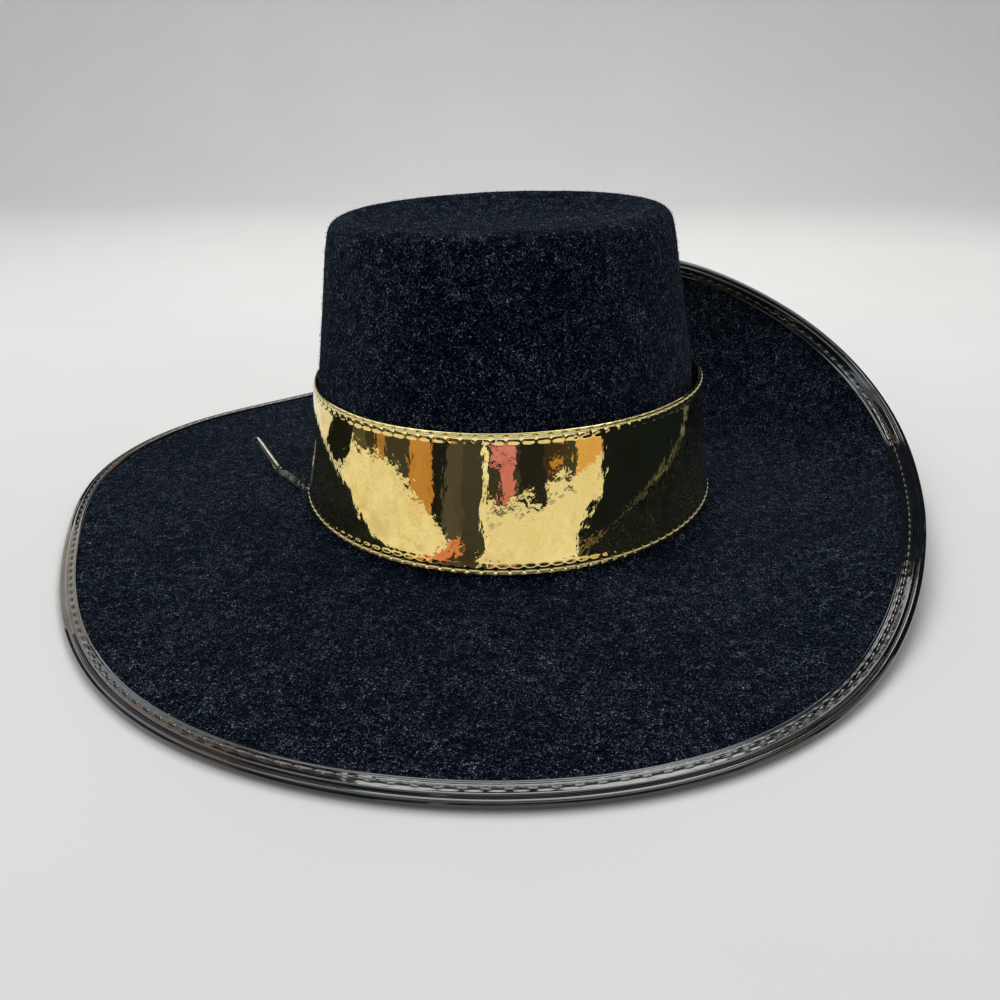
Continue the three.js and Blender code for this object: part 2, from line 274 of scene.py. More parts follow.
def tube(centres, frames_u, frames_v, radii_u, radii_v, sides, phase=None):
    """A closed tube through centres; (points, faces)."""
    n = len(centres)
    ang = np.arange(sides) * 2 * np.pi / sides
    ru = np.broadcast_to(radii_u, (n,)) if np.ndim(radii_u) < 2 else radii_u
    rv = np.broadcast_to(radii_v, (n,)) if np.ndim(radii_v) < 2 else radii_v
    ru = ru[:, None] if ru.ndim == 1 else ru
    rv = rv[:, None] if rv.ndim == 1 else rv
    a = ang[None, :] + (0 if phase is None else phase[:, None])
    pts = (centres[:, None, :] + frames_u[:, None, :] * (np.cos(a) * ru)[..., None]
           + frames_v[:, None, :] * (np.sin(a) * rv)[..., None])
    faces = grid_faces(n, sides)
    pts = pts.reshape(-1, 3)
    k = len(pts)
    pts = np.vstack([pts, centres[0], centres[-1]])
    faces += [[k, (c + 1) % sides, c][::-1] for c in range(sides)]
    faces += [[k + 1, (n - 1) * sides + (c + 1) % sides, (n - 1) * sides + c] for c in range(sides)]
    return pts, faces


# ------------------------------------------------------------------ node materials
class Nodes:
    """Short names for building one material."""

    def __init__(self, name):
        self.mat = bpy.data.materials.new(name)
        self.mat.use_nodes = True
        self.t = self.mat.node_tree
        self.bsdf = self.t.nodes["Principled BSDF"]
        self.coords = self.t.nodes.new("ShaderNodeTexCoord").outputs["Object"]

    def new(self, kind, **settings):
        node = self.t.nodes.new(kind)
        for k, v in settings.items():
            setattr(node, k, v)
        return node

    def link(self, a, b):
        self.t.links.new(a, b)

    def noise(self, scale, detail=4.0, rough=0.55, distortion=0.0, coords=None):
        n = self.new("ShaderNodeTexNoise")
        n.inputs["Scale"].default_value = scale
        n.inputs["Detail"].default_value = detail
        n.inputs["Roughness"].default_value = rough
        n.inputs["Distortion"].default_value = distortion
        self.link(coords or self.coords, n.inputs["Vector"])
        return n.outputs["Fac"]

    def cells(self, scale, out="Distance", coords=None, randomness=1.0):
        n = self.new("ShaderNodeTexVoronoi")
        n.inputs["Scale"].default_value = scale
        n.inputs["Randomness"].default_value = randomness
        self.link(coords or self.coords, n.inputs["Vector"])
        return n.outputs[out]

    def ramp(self, value, stops):
        r = self.new("ShaderNodeValToRGB")
        while len(r.color_ramp.elements) < len(stops):
            r.color_ramp.elements.new(0.5)
        for e, (pos, col) in zip(r.color_ramp.elements, stops):
            e.position = pos
            e.color = (*col, 1.0) if not np.isscalar(col) else (col, col, col, 1.0)
        self.link(value, r.inputs["Fac"])
        return r.outputs["Color"]

    def mix(self, fac, a, b, mode="MIX"):
        m = self.new("ShaderNodeMix", data_type="RGBA", blend_type=mode)
        for sock, v in ((m.inputs[0], fac), (m.inputs[6], a), (m.inputs[7], b)):
            if hasattr(v, "is_linked"):
                self.link(v, sock)
            elif np.isscalar(v):
                sock.default_value = v
            else:
                sock.default_value = (*v, 1.0)
        return m.outputs[2]

    def math(self, op, a, b=None):
        m = self.new("ShaderNodeMath", operation=op)
        for sock, v in zip(m.inputs, (a, b)):
            if v is None:
                continue
            if hasattr(v, "is_linked"):
                self.link(v, sock)
            else:
                sock.default_value = v
        return m.outputs[0]

    def stretched(self, x, y, z):
        n = self.new("ShaderNodeVectorMath", operation="MULTIPLY")
        n.inputs[1].default_value = (x, y, z)
        self.link(self.coords, n.inputs[0])
        return n.outputs[0]

    def bump(self, height, strength, distance, below=None):
        b = self.new("ShaderNodeBump")
        b.inputs["Strength"].default_value = strength
        b.inputs["Distance"].default_value = distance
        self.link(height, b.inputs["Height"])
        if below is not None:
            self.link(below, b.inputs["Normal"])
        return b.outputs["Normal"]


def felt_material():
    m = Nodes("black_felt")
    clouds = m.noise(26, 4, 0.6)
    tufts = m.noise(260, 3, 0.6, 0.7)
    strokes = m.noise(1420, 2, 0.6, 1.2)
    grain = m.noise(2500, 1, 0.5, 0.5)
    pile = m.math("ADD", m.math("MULTIPLY", strokes, 0.62), m.math("MULTIPLY", grain, 0.38))
    pile = m.math("ADD", pile, m.math("MULTIPLY", m.math("SUBTRACT", tufts, 0.5), 0.22))
    pile = m.math("ADD", pile, m.math("MULTIPLY", m.math("SUBTRACT", clouds, 0.5), 0.07))
    base = m.ramp(pile, [(0.40, (0.0005, 0.0012, 0.0036)), (0.48, (0.0009, 0.0022, 0.0062)),
                         (0.53, (0.0022, 0.0044, 0.0105)), (0.58, (0.017, 0.0235, 0.036)),
                         (0.635, (0.110, 0.128, 0.155)), (0.70, (0.36, 0.385, 0.42))])
    m.link(base, m.bsdf.inputs["Base Color"])
    m.bsdf.inputs["Roughness"].default_value = 0.97
    m.bsdf.inputs["Specular IOR Level"].default_value = 0.0
    m.bsdf.inputs["Sheen Weight"].default_value = 0.050
    m.bsdf.inputs["Sheen Roughness"].default_value = 0.19
    m.bsdf.inputs["Sheen Tint"].default_value = (0.58, 0.76, 1.0, 1.0)
    n1 = m.bump(strokes, 1.0, 0.0008)
    n2 = m.bump(tufts, 0.8, 0.0012, n1)
    m.link(n2, m.bsdf.inputs["Normal"])
    return m.mat


def fibre_material(name, dark, light, seed):
    m = Nodes(name)
    tone = m.noise(620, 2, 0.5)
    m.link(m.ramp(tone, [(0.44, dark), (0.66, light)]), m.bsdf.inputs["Base Color"])
    m.bsdf.inputs["Roughness"].default_value = 0.75
    m.bsdf.inputs["Specular IOR Level"].default_value = 0.3
    m.bsdf.inputs["Sheen Weight"].default_value = 0.1
    return m.mat


def gold_material():
    m = Nodes("gold_mirror_vinyl")
    tone = m.noise(60, 4, 0.6)
    m.link(m.ramp(tone, [(0.3, (0.86, 0.69, 0.26)), (0.7, (0.90, 0.74, 0.32))]), m.bsdf.inputs["Base Color"])
    m.bsdf.inputs["Metallic"].default_value = 1.0
    speck = m.noise(1500, 2, 0.6)
    m.link(m.ramp(speck, [(0.45, 0.025), (0.75, 0.075)]), m.bsdf.inputs["Roughness"])
    wide = m.noise(150, 2, 0.5, 0.4, m.stretched(1.0, 1.0, 0.55))
    small = m.noise(520, 2, 0.5, 0.3, m.stretched(1.0, 1.0, 0.7))
    n1 = m.bump(wide, 0.30, 0.0006)
    n2 = m.bump(small, 0.16, 0.00022, n1)
    m.link(n2, m.bsdf.inputs["Normal"])
    return m.mat


def thread_material(name, colour, metallic, rough):
    m = Nodes(name)
    tone = m.noise(2500, 2, 0.5)
    dark = tuple(c * 0.72 for c in colour)
    m.link(m.ramp(tone, [(0.35, dark), (0.65, colour)]), m.bsdf.inputs["Base Color"])
    m.bsdf.inputs["Metallic"].default_value = metallic
    m.bsdf.inputs["Roughness"].default_value = rough
    m.link(m.bump(tone, 0.4, 0.0001), m.bsdf.inputs["Normal"])
    return m.mat


def vinyl_material():
    m = Nodes("black_gloss_vinyl")
    m.link(m.ramp(m.noise(70, 4, 0.6), [(0.3, (0.0025, 0.0028, 0.0036)), (0.7, (0.006, 0.0065, 0.008))]),
           m.bsdf.inputs["Base Color"])
    m.link(m.ramp(m.noise(700, 3, 0.6), [(0.4, 0.07), (0.75, 0.16)]), m.bsdf.inputs["Roughness"])
    m.bsdf.inputs["IOR"].default_value = 1.55
    m.bsdf.inputs["Coat Weight"].default_value = 0.8
    m.bsdf.inputs["Coat Roughness"].default_value = 0.04
    n1 = m.bump(m.noise(110, 2, 0.5, 0.5), 0.20, 0.0005)
    n2 = m.bump(m.noise(520, 2, 0.5), 0.12, 0.0002, n1)
    m.link(n2, m.bsdf.inputs["Normal"])
    return m.mat


def cord_material():
    m = Nodes("black_cord")
    tone = m.noise(720, 2, 0.5, 0.6)
    m.link(m.ramp(tone, [(0.42, (0.004, 0.005, 0.006)), (0.60, (0.15, 0.15, 0.14))]), m.bsdf.inputs["Base Color"])
    m.bsdf.inputs["Roughness"].default_value = 0.7
    m.bsdf.inputs["Sheen Weight"].default_value = 0.25
    m.link(m.bump(tone, 0.6, 0.0002), m.bsdf.inputs["Normal"])
    return m.mat


def barb_material():
    m = Nodes("barb_metal")
    tone = m.noise(500, 4, 0.6)
    m.link(m.ramp(tone, [(0.35, (0.22, 0.20, 0.16)), (0.7, (0.42, 0.39, 0.33))]), m.bsdf.inputs["Base Color"])
    m.bsdf.inputs["Metallic"].default_value = 1.0
    m.link(m.ramp(m.noise(1500, 3, 0.6), [(0.4, 0.28), (0.7, 0.45)]), m.bsdf.inputs["Roughness"])
    m.link(m.bump(m.noise(1200, 3, 0.6), 0.25, 0.0001), m.bsdf.inputs["Normal"])
    return m.mat


FELT_MAT = felt_material()
NAP_MAT = fibre_material("nap_fibres", (0.0024, 0.0040, 0.0085), (0.040, 0.047, 0.062), 1)
NAP_LIGHT = fibre_material("nap_fibres_light", (0.075, 0.082, 0.095), (0.30, 0.31, 0.33), 3)
LINT_MAT = fibre_material("lint_fibres", (0.10, 0.105, 0.115), (0.40, 0.40, 0.41), 2)
GOLD_MAT = gold_material()
GOLD_THREAD = thread_material("gold_thread", (1.0, 0.90, 0.50), 0.12, 0.38)
VINYL_MAT = vinyl_material()
BLACK_THREAD = thread_material("black_thread", (0.012, 0.012, 0.014), 0.0, 0.22)
CORD_MAT = cord_material()
BARB_MAT = barb_material()


# ------------------------------------------------------------------ camera
def make_camera():
    pitch, yaw, roll = 0.38206, -0.011956, 0.0017164
    fwd = Vector((math.sin(yaw) * math.cos(pitch), math.cos(yaw) * math.cos(pitch), -math.sin(pitch)))
    right = Vector((math.cos(yaw), -math.sin(yaw), 0.0))
    up = right.cross(fwd)
    r2 = right * math.cos(roll) + up * math.sin(roll)
    u2 = up * math.cos(roll) - right * math.sin(roll)
    cam = bpy.data.cameras.new("camera")
    cam.sensor_fit = "HORIZONTAL"
    cam.sensor_width = 36.0
    cam.lens = 35.865
    cam.clip_start = 0.01
    cam.clip_end = 20.0
    ob = bpy.data.objects.new("camera", cam)
    bpy.context.scene.collection.objects.link(ob)
    m = Matrix((r2, u2, -fwd)).transposed().to_4x4()
    m.translation = Vector((6.816, -409.01, 162.02)) * MM
    ob.matrix_world = m
    bpy.context.scene.camera = ob


make_camera()

# ------------------------------------------------------------------ chin cord and its barbs
TIP_LEFT = dict(at=(-105.2, 7.6, -1.2), along=(-0.601, 0.564, 0.569), open=(-0.5, -0.85, 0.1))
TIP_RIGHT = dict(at=(87.6, 47.0, -2.4), along=(-0.30, 0.86, 0.41), open=(-0.2, -0.4, 0.9))
LIE = -STAND + CORD_R + 0.05


def in_front(tip, gap):
    y = unit(np.array(tip["along"]))
    return tuple(np.array(tip["at"]) - y * gap)


CORD = [
    in_front(TIP_LEFT, 0.35),
    in_front(TIP_LEFT, 3.0),
    (-99.6, -1.2, -1.05), (-95.9, -7.0, -0.95), (-92.3, -12.0, -1.15),
    (-88.3, -13.5, -4.0), (-84.4, -13.3, -7.05), (-79.5, -13.2, LIE),
    (-67, -16, LIE), (-50, -34, LIE), (-22, -56, LIE), (14, -63, LIE), (42, -47, LIE),
    (46, -20, LIE), (22, -4, LIE), (-14, 2, LIE), (-42, 18, LIE), (-50, 44, LIE),
    (-28, 64, LIE), (6, 66, LIE), (36, 52, LIE), (58, 36, LIE), (70, 29.5, LIE),
    (77.6, 28.6, LIE), (82.0, 29.1, -7.1), (85.7, 30.0, -4.4), (88.7, 31.5, -2.0),
    (90.0, 35.2, -2.0), (89.4, 40.2, -2.4),
    in_front(TIP_RIGHT, 3.2),
    in_front(TIP_RIGHT, 0.35),
]


def cord_line(step):
    route = placed(*np.array(CORD, float).T)
    fine = refine(route[:, None, :], [24] * (len(route) - 1))[:, 0, :]
    along = np.concatenate([[0], np.cumsum(np.linalg.norm(np.diff(fine, axis=0), axis=1))])
    at = np.linspace(0, along[-1], int(round(along[-1] / step)) + 1)
    return np.stack([np.interp(at, along, fine[:, k]) for k in range(3)], axis=1), along[-1]


def carried_frames(line):
    """Two unit directions across the line at each point, turning as little as they can."""
    d = unit(np.gradient(line, axis=0))
    u = np.zeros_like(d)
    first = np.cross(d[0], [0, 0, 1.0])
    u[0] = unit(first if np.linalg.norm(first) > 0.1 else np.cross(d[0], [1.0, 0, 0]))
    for i in range(1, len(d)):
        v = u[i - 1] - d[i] * np.dot(u[i - 1], d[i])
        u[i] = unit(v)
    return d, u, np.cross(d, u)


def make_cord():
    line, length = cord_line(0.5)
    d, u, v = carried_frames(line)
    s = np.linspace(0, length, len(line))
    parts = []
    sides = 10
    for k in range(2):
        turn = 2 * np.pi * s / 4.7 + math.pi * k
        mid = line + 0.86 * (u * np.cos(turn)[:, None] + v * np.sin(turn)[:, None])
        du = u * np.cos(turn)[:, None] + v * np.sin(turn)[:, None]
        dv = np.cross(d, du)
        ang = np.arange(sides) * 2 * np.pi / sides
        strand = 1 - 0.07 * np.abs(np.sin(1.5 * (ang[None, :] + 2 * np.pi * s[:, None] / 2.1)))
        parts.append(tube(mid, du, dv, 0.76 * strand, 0.76 * strand, sides))
    ob = add_object("cord_two_ply", *join(parts), CORD_MAT)
    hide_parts("chin_cord")
    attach(ob, "root")
    return ob, cord_line(2.0)[0] * MM, length * MM


def make_barb(name, tip, node):
    """Folded sheet-metal barb: a crimped collar on the cord, a U channel and a bent hook."""
    y = unit(np.array(tip["along"]))
    z = np.array(tip["open"])
    z = unit(z - y * np.dot(z, y))
    x = np.cross(y, z)
    t = 0.42
    # station: distance, half width, flange height left, right, bottom height
    stations = [
        (0.0, 1.05, 1.15, 0.8, -0.85), (0.5, 1.1, 1.25, 0.9, -0.87), (2.2, 1.12, 1.2, 0.9, -0.87),
        (3.4, 1.05, 0.6, 0.9, -0.86), (7.0, 1.05, 0.5, 0.92, -0.86), (11.0, 1.03, 0.5, 0.9, -0.85),
        (13.4, 1.05, 0.42, 0.9, -0.86), (14.8, 1.0, 0.1, 0.88, -0.85), (15.6, 0.95, -0.32, 0.86, -0.85),
        (17.2, 0.85, -0.38, 0.8, -0.85), (18.2, 0.68, -0.38, 0.7, -0.8), (18.5, 0.55, -0.34, 0.5, -0.74),
    ]
    rows = []
    for (dist, w, hl, hr, lo) in stations:
        wi = w - t
        bend = 0.3
        sec = [
            (-w, hl - 0.12), (-w, lo + bend), (-w + bend * 0.35, lo + bend * 0.35), (-w + bend, lo),
            (w - bend, lo), (w - bend * 0.35, lo + bend * 0.35), (w, lo + bend), (w, hr - 0.12),
            (w - 0.12, hr), (wi + 0.12, hr), (wi, hr - 0.12), (wi, lo + t + 0.12), (wi - 0.12, lo + t),
            (-wi + 0.12, lo + t), (-wi, lo + t + 0.12), (-wi, hl - 0.12), (-wi - 0.12, hl), (-w + 0.12, hl),
        ]
        rows.append([np.array(tip["at"]) + x * sx + y * dist + z * sz for sx, sz in sec])
    rows = refine(np.array(rows), [2, 3, 3, 4, 4, 3, 3, 2, 3, 2, 1])
    n = rows.shape[1]
    pts = rows.reshape(-1, 3)
    faces = grid_faces(len(rows), n)
    # ends closed flange by flange and across the web
    def cap(base, flip):
        left = [0, 1, 2, 3, 13, 14, 15, 16, 17]
        right = [4, 5, 6, 7, 8, 9, 10, 11, 12]
        web = [3, 4, 12, 13]
        out = []
        for f in (left, right, web):
            f = [base + i for i in f]
            out.append(f[::-1] if flip else f)
        return out
    faces += cap(0, False) + cap((len(rows) - 1) * n, True)
    # hook: the tip of the right flange turned across
    hook = []
    for k, f in enumerate(np.linspace(0, 1, 7)):
        a = math.radians(20 + 75 * f)
        c = np.array([0.6 - 3.9 * f * math.sin(a) * 0.95, 18.2 + 0.9 * math.sin(math.pi * min(f, 0.6)), 0.05 - 0.2 * f])
        h = 0.78 - 0.22 * f
        wdt = 0.24
        nx, ny = math.cos(a), math.sin(a)
        for (o, e) in ((wdt, h), (-wdt, h), (-wdt, -h), (wdt, -h)):
            hook.append(np.array(tip["at"]) + x * (c[0] + nx * o) + y * (c[1] + ny * o) + z * (c[2] + e))
    hook_faces = grid_faces(7, 4) + [[3, 2, 1, 0], [24, 25, 26, 27]]
    pts, faces = join([(pts, faces), (hook, hook_faces)])
    pts = placed(*pts.T)
    ob = add_object(name, pts, faces, BARB_MAT)
    me = ob.data
    import bmesh
    bm = bmesh.new()
    bm.from_mesh(me)
    bmesh.ops.recalc_face_normals(bm, faces=bm.faces)
    bm.to_mesh(me)
    bm.free()
    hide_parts(node)
    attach(ob, "root")
    return ob


barb_left = make_barb("barb_left", TIP_LEFT, "cord_tip_left")
barb_right = make_barb("barb_right", TIP_RIGHT, "cord_tip_right")
cord, cord_path, cord_length = make_cord()

# ------------------------------------------------------------------ felt
N_FELT = 360
felt_t, _ = even_turns(lambda t: crown_point(t, wall_a(30.0), wall_b(30.0), 30.0), N_FELT)


def felt_rows():
    """Outer and inner faces of crown and brim, the same rows as the solid, then refined."""
    tilt = math.radians(8.5)
    rim_z = CROWN_H - RIM_R
    tangent = rim_z + RIM_R * math.sin(tilt)
    rim_a = wall_a(tangent) - RIM_R * math.cos(tilt)
    rim_b = wall_b(tangent) - RIM_R * math.cos(tilt)
    t = felt_t
    rows, parts = [], []
    for f in (0.3, 0.6):
        rows.append(crown_point(t, (rim_a - 44) * f, (rim_b - 44) * f, CROWN_H - DISH_DEPTH + 0.1 * f**2))
        parts.append(4)
    for (inset, depth), k in zip(DISH, (7, 6, 4, 4)):
        rows.append(crown_point(t, rim_a - inset, rim_b - inset, CROWN_H - depth))
        parts.append(k)
    for angle, k in zip(RIM_ANGLES, (3, 3, 3, 4)):
        c, s = RIM_R * math.cos(math.radians(angle)), RIM_R * math.sin(math.radians(angle))
        rows.append(crown_point(t, rim_a + c, rim_b + c, rim_z + s))
        parts.append(k)
    for z, k in zip(WALL_ROWS, (11, 11, 10, 10, 3)):
        rows.append(crown_point(t, wall_a(z), wall_b(z), z))
        parts.append(k)
    foot = sum(parts[:-1])
    for (s, lift), k in zip(FOOT_ROLL, (2, 2, 4)):
        rows.append(brim_point(t, s) + np.array([0, 0, lift]))
        parts.append(k)
    first = len(rows)
    for f, k in zip(BRIM_ROWS, (5, 5, 5, 5, 5, 5, 5, 4, 3, 0)):
        rows.append(brim_point(t, f * brim_length(t)))
        parts.append(k)
    parts = parts[:-1]
    outer = np.array(rows)
    pole = crown_point(0.0, 0.0, 0.0, CROWN_H - DISH_DEPTH)
    around = np.roll(outer, -1, axis=1) - np.roll(outer, 1, axis=1)
    before = np.concatenate([np.broadcast_to(pole, outer[:1].shape), outer[:-1]])
    after = np.concatenate([outer[1:], outer[-1:]])
    normal = unit(np.cross(after - before, around))
    for i, f in enumerate(BRIM_ROWS):
        normal[first + i] = brim_normal(t, f * brim_length(t))
    inner = grounded(outer - FELT * normal)
    fine = refine(outer, parts)
    inner = grounded(refine(inner, [max(1, k // 2) for k in parts]))
    return fine, inner, pole, foot


def grid_normals(p):
    around = np.roll(p, -1, axis=1) - np.roll(p, 1, axis=1)
    down = np.gradient(p, axis=0)
    return unit(np.cross(down, around))


felt_outer, felt_inner, felt_pole, foot_row = felt_rows()
felt_normal = grid_normals(felt_outer)


def make_felt():
    relief = (0.16 * field(felt_outer, 34.0, 1) + 0.10 * field(felt_outer, 13.0, 2) + 0.05 * field(felt_outer, 5.0, 3))
    shown = felt_outer + felt_normal * relief[..., None]
    # stays clear of the tape, and of the band round the crown's foot
    edge = np.linspace(0, 1, len(shown))
    keep = np.clip((0.985 - edge) / 0.05, 0, 1)[:, None, None]
    wall = ((felt_outer[..., 2] > STAND - 3) & (felt_outer[..., 2] < STAND + BAND_H + 3)
            & (np.abs(felt_normal[..., 2]) < 0.6))[..., None]
    shown = np.where(wall, felt_outer, felt_outer * (1 - keep) + shown * keep)
    rows = np.concatenate([shown, felt_inner[::-1]])
    ob = skin("hat_felt", rows, FELT_MAT, start=felt_pole, end=felt_pole - np.array([0, 0, FELT]))
    # the cord's two slanting holes at the crown's foot
    for a, b in (((-92.2, -13.5, -0.8), (-84.2, -13.3, -7.5)), ((89.6, 31.0, -1.2), (81.9, 29.1, -7.6))):
        p, q = placed(*a), placed(*b)
        d = unit(q - p)
        u = unit(np.cross(d, [0, 0, 1.0]))
        v = np.cross(d, u)
        ends = np.array([p - d * 1.5, q + d * 1.5])
        pts, faces = tube(ends, np.array([u, u]), np.array([v, v]), HOLE_R, HOLE_R, 28)
        cutter = add_object("cutter", pts, faces, FELT_MAT)
        import bmesh
        bm = bmesh.new()
        bm.from_mesh(cutter.data)
        bmesh.ops.recalc_face_normals(bm, faces=bm.faces)
        bm.to_mesh(cutter.data)
        bm.free()
        mod = ob.modifiers.new("hole", "BOOLEAN")
        mod.operation, mod.solver, mod.object = "DIFFERENCE", "EXACT", cutter
        bpy.context.view_layer.update()
        cut = bpy.data.meshes.new_from_object(ob.evaluated_get(bpy.context.evaluated_depsgraph_get()))
        ob.modifiers.clear()
        ob.data = cut
        bpy.data.objects.remove(cutter)
    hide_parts("felt_body")
    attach(ob, "root")
    return ob


hat_felt = make_felt()


# ------------------------------------------------------------------ nap and lint
def scatter(rows, normals, allowed, count, generator):
    """Random points, normals and two tangents on the quads of a grid of points."""
    p00, p01 = rows[:-1], np.roll(rows, -1, axis=1)[:-1]
    p10 = rows[1:]
    area = np.linalg.norm(np.cross(p01 - p00, p10 - p00), axis=-1) * allowed[:-1]
    flat = area.ravel()
    pick = generator.choice(len(flat), size=count, p=flat / flat.sum())
    r, c = np.unravel_index(pick, area.shape)
    c2 = (c + 1) % rows.shape[1]
    a, b = generator.random(count)[:, None], generator.random(count)[:, None]
    pos = (rows[r, c] * (1 - a) * (1 - b) + rows[r, c2] * (1 - a) * b + rows[r + 1, c] * a * (1 - b) + rows[r + 1, c2] * a * b)
    n = unit(normals[r, c] * (1 - a) + normals[r + 1, c] * a)
    u = unit(np.cross(n, generator.normal(size=(count, 3))))
    return pos, n, u, np.cross(n, u)


def spikes(name, pos, n, u, v, length, rise, width, material):
    """Thin three-sided closed fibres, each bent once."""
    k = len(pos)
    foot = pos - n * 0.25
    mid = pos + u * (length * 0.55)[:, None] + n * (length * rise * 0.75)[:, None]
    tip = pos + u * length[:, None] + n * (length * rise)[:, None] + v * (length * 0.25 * np.sin(length * 40))[:, None]
    w = width[:, None]
    ring0 = [foot + v * w * 0.5, foot - v * w * 0.5, foot + n * w * 0.8]
    ring1 = [mid + v * w * 0.42, mid - v * w * 0.42, mid + n * w * 0.66]
    pts = np.stack(ring0 + ring1 + [tip], axis=1).reshape(-1, 3)
    base = (np.arange(k) * 7)[:, None]
    tris = np.array([[0, 2, 1], [0, 1, 4], [0, 4, 3], [1, 2, 5], [1, 5, 4], [2, 0, 3], [2, 3, 5],
                     [3, 4, 6], [4, 5, 6], [5, 3, 6]])
    faces = (base[:, :, None] + tris[None]).reshape(-1, 3).tolist()
    ob = add_object(name, pts, faces, material, smooth=False)
    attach(ob, "root")
    return ob


def curls(name, pos, n, u, v, length, material, generator):
    """Fine loose hairs, curling over the nap: closed three-sided tubes."""
    parts = []
    steps = 9
    f = np.linspace(0, 1, steps)
    for i in range(len(pos)):
        L = length[i]
        bend = generator.uniform(-2.6, 2.6)
        wave = generator.uniform(0.05, 0.16) * L
        a = bend * f
        along = np.concatenate([[0], np.cumsum(np.cos(a[:-1]) * L / (steps - 1))])
        side = np.concatenate([[0], np.cumsum(np.sin(a[:-1]) * L / (steps - 1))]) + wave * np.sin(f * 7 + bend)
        lift = 0.15 + generator.uniform(0.1, 0.5) * np.sin(np.pi * f) * min(L, 4) * 0.4
        line = pos[i] + u[i] * along[:, None] + v[i] * side[:, None] + n[i] * lift[:, None]
        w = generator.uniform(0.030, 0.060) * (1 - 0.55 * f)
        parts.append(tube(line, np.tile(v[i], (steps, 1)), np.tile(n[i], (steps, 1)), w, w, 3))
    ob = add_object(name, *join(parts), material, smooth=False)
    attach(ob, "root")
    return ob


def make_nap():
    rows, normals = felt_outer, felt_normal
    shape = rows.shape[:2]
    z = rows[..., 2]
    steep = np.abs(normals[..., 2]) < 0.6
    split = foot_row
    crown = np.zeros(shape)
    crown[:split] = 1
    crown[(z < STAND + BAND_H + 2.0) & (np.arange(shape[0])[:, None] < split + 6) & steep] = 0
    crown[split - 2:] = 0
    brim = np.zeros(shape)
    brim[split + 8:] = 1
    # clear of the tape
    length = brim_length(felt_t)
    base = felt_outer[split + 8]
    edge_gap = np.linalg.norm(rows - rows[-1][None], axis=-1)
    brim[edge_gap < tape_width(felt_t)[None, :] + 2.2] = 0
    for name, allowed, count, seed, mat, short, long, thin, thick in (
            ("crown_nap", crown, 9000, 5, NAP_MAT, 0.5, 1.7, 0.07, 0.15), ("brim_nap", brim, 11500, 6, NAP_MAT, 0.5, 1.7, 0.07, 0.15),
            ("crown_nap_light", crown, 5200, 9, NAP_LIGHT, 0.3, 1.5, 0.05, 0.10),
            ("brim_nap_light", brim, 8200, 10, NAP_LIGHT, 0.3, 1.4, 0.045, 0.09)):
        g = np.random.default_rng(seed)
        pos, n, u, v = scatter(rows, normals, allowed, count, g)
        spikes(name, pos, n, u, v, short + (long - short) * g.random(count) ** 1.5, g.uniform(0.08, 0.75, count),
               g.uniform(thin, thick, count), mat)
    for name, allowed, count, seed, short, long in (("crown_lint", crown, 480, 7, 1.0, 3.6), ("brim_lint", brim, 420, 8, 0.8, 2.4)):
        g = np.random.default_rng(seed)
        pos, n, u, v = scatter(rows, normals, allowed, count, g)
        curls(name, pos, n, u, v, short + (long - short) * g.random(count) ** 2.2, LINT_MAT, g)


make_nap()


# ------------------------------------------------------------------ gold band
def band_point(t, z, inset):
    f = z / BAND_H
    lift = BAND_LIFT * f * np.maximum(0, np.cos(t - LIFT_AT)) ** 3
    return crown_point(t, BAND_A + (BAND_TOP_A - BAND_A) * f + lift - inset,
                       BAND_B + (BAND_TOP_B - BAND_B) * f + lift * 0.4 - inset, z)


N_BAND = 1200
STITCH_TOP, STITCH_BOTTOM = BAND_H - 1.3, 1.7
STITCHES_TOP, STITCHES_BOTTOM = 108, 121


